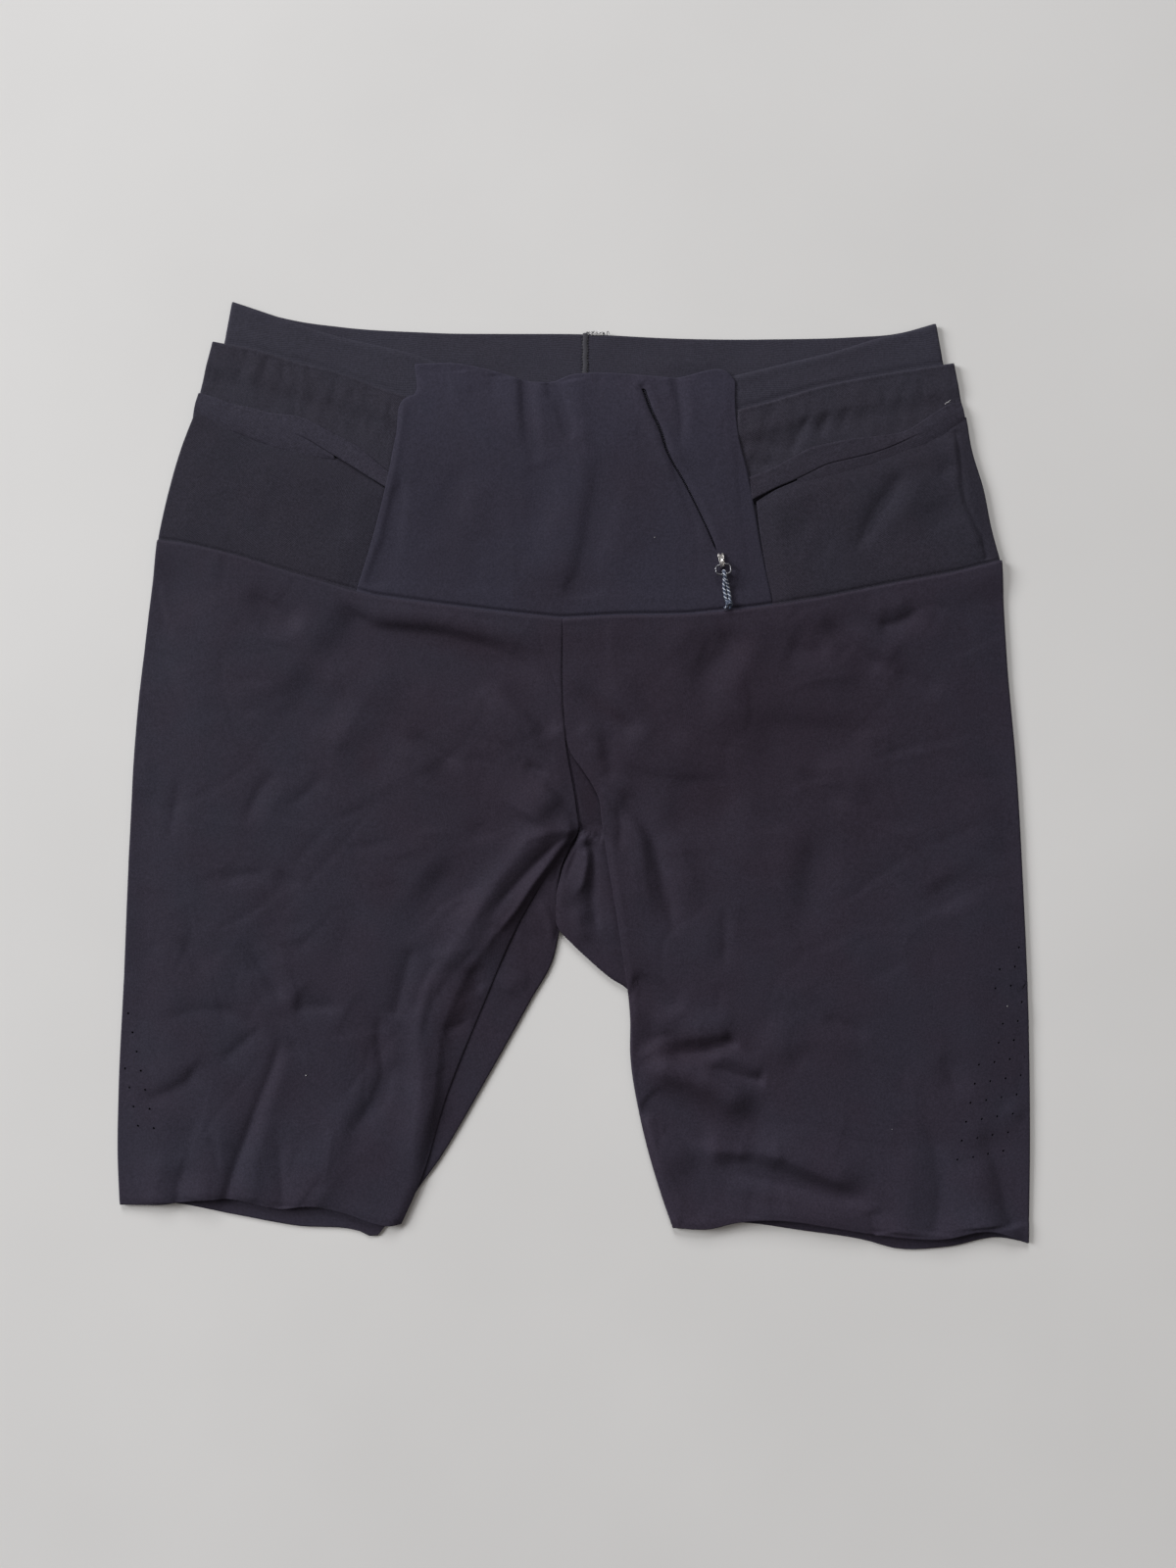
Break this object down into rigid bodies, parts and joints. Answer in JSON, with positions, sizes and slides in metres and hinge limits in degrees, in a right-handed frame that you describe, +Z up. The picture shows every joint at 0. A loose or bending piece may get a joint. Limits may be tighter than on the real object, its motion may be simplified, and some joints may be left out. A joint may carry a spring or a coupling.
{
  "type": "running shorts",
  "caption": "Close-fitting knit running shorts laid flat, with a gathered mesh waist belt, hip pockets, a centre zip pocket with a cord pull, and raw-cut hems.",
  "frame": {"origin": "centre of the bounding box at the underside, on the surface the garment lies on", "axes": "+Y towards the waist, +Z up out of the front of the garment, +X towards the zip's side"},
  "size_m": [0.4692, 0.487, 0.0087],
  "materials": {
    "leg_knit": "dense black warp knit with a faint violet cast and a soft sheen",
    "elastic_band": "matt black ribbed elastic",
    "belt_mesh": "fine matt charcoal mesh, gathered",
    "binding_knit": "folded knit binding",
    "zip_tape": "black coil zip",
    "slider_metal": "small plated slider, lightly rubbed",
    "ring_wire": "thin steel wire",
    "pull_cord": "navy braided cord with pale tracer flecks"
  },
  "bodies": {
    "garment": {"waistband_back_left": "elastic_band", "waistband_back_right": "elastic_band", "belt_back": "belt_mesh", "leg_back_left": "leg_knit", "leg_back_right": "leg_knit", "waistband_front": "elastic_band", "belt_front_left": "belt_mesh", "belt_front_right": "belt_mesh", "gusset_left": "leg_knit", "gusset_right": "leg_knit", "pocket_left": "belt_mesh", "pocket_right": "belt_mesh", "binding_left_a": "binding_knit", "binding_left_b": "binding_knit", "binding_right_a": "binding_knit", "binding_right_b": "binding_knit", "centre_pocket": "leg_knit", "leg_front_left": "leg_knit", "leg_front_right": "leg_knit", "zip_coil": "zip_tape", "zip_slider": "slider_metal"},
    "pull": {"zip_ring": "ring_wire", "zip_cord": "pull_cord", "zip_knot": "pull_cord"}
  },
  "joints": [
    {"name": "pull_hinge", "type": "hinge", "parent": "garment", "child": "pull", "pos_m": [0.07603, 0.10816, 0.0058], "axis": [-0.9866, -0.1629, 0], "range_deg": [0, 150]}
  ]
}
